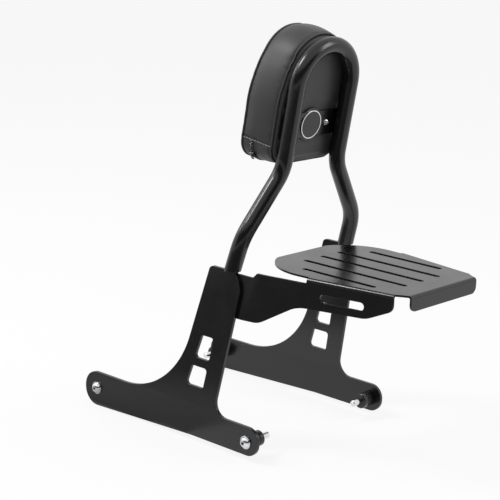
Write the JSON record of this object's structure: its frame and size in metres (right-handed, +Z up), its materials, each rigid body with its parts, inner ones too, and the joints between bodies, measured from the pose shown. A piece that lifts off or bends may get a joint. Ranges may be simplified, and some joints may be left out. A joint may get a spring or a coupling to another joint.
{
  "type": "sissy bar",
  "caption": "Motorbike sissy bar: bent-tube backrest hoop with an upholstered pad, bolt-on side plates and a slotted sheet-metal luggage rack.",
  "frame": {"origin": "midway between the fixing bolts, level with their axes", "axes": "+X to the motorbike's left, +Y to its rear, +Z up"},
  "size_m": [0.312, 0.593, 0.6355],
  "materials": {
    "black_paint": "satin",
    "leatherette": "satin",
    "bright_metal": "polished",
    "zip_tape": "matte",
    "plywood": "bare",
    "plain_steel": "zinc plated",
    "badge_black": "gloss"
  },
  "bodies": {
    "root": {"hoop_tube": "black_paint", "left_side_plate": "black_paint", "right_side_plate": "black_paint", "luggage_rack": "black_paint", "pad_bracket": "black_paint", "left_front_spacer": "black_paint", "left_rear_spacer": "black_paint", "right_front_spacer": "black_paint", "right_rear_spacer": "black_paint", "pad_cushion": "leatherette", "front_piping": "leatherette", "rear_piping": "leatherette", "left_front_bolt": "bright_metal", "left_front_washer": "bright_metal", "left_rear_bolt": "bright_metal", "left_rear_washer": "bright_metal", "right_front_bolt": "bright_metal", "right_front_washer": "bright_metal", "right_rear_bolt": "bright_metal", "right_rear_washer": "bright_metal", "left_pad_screw": "bright_metal", "right_pad_screw": "bright_metal", "badge_bezel": "bright_metal", "pad_zip": "zip_tape", "pad_board": "plywood", "left_t_nut": "plain_steel", "right_t_nut": "plain_steel", "badge_disc": "badge_black"}
  },
  "joints": []
}
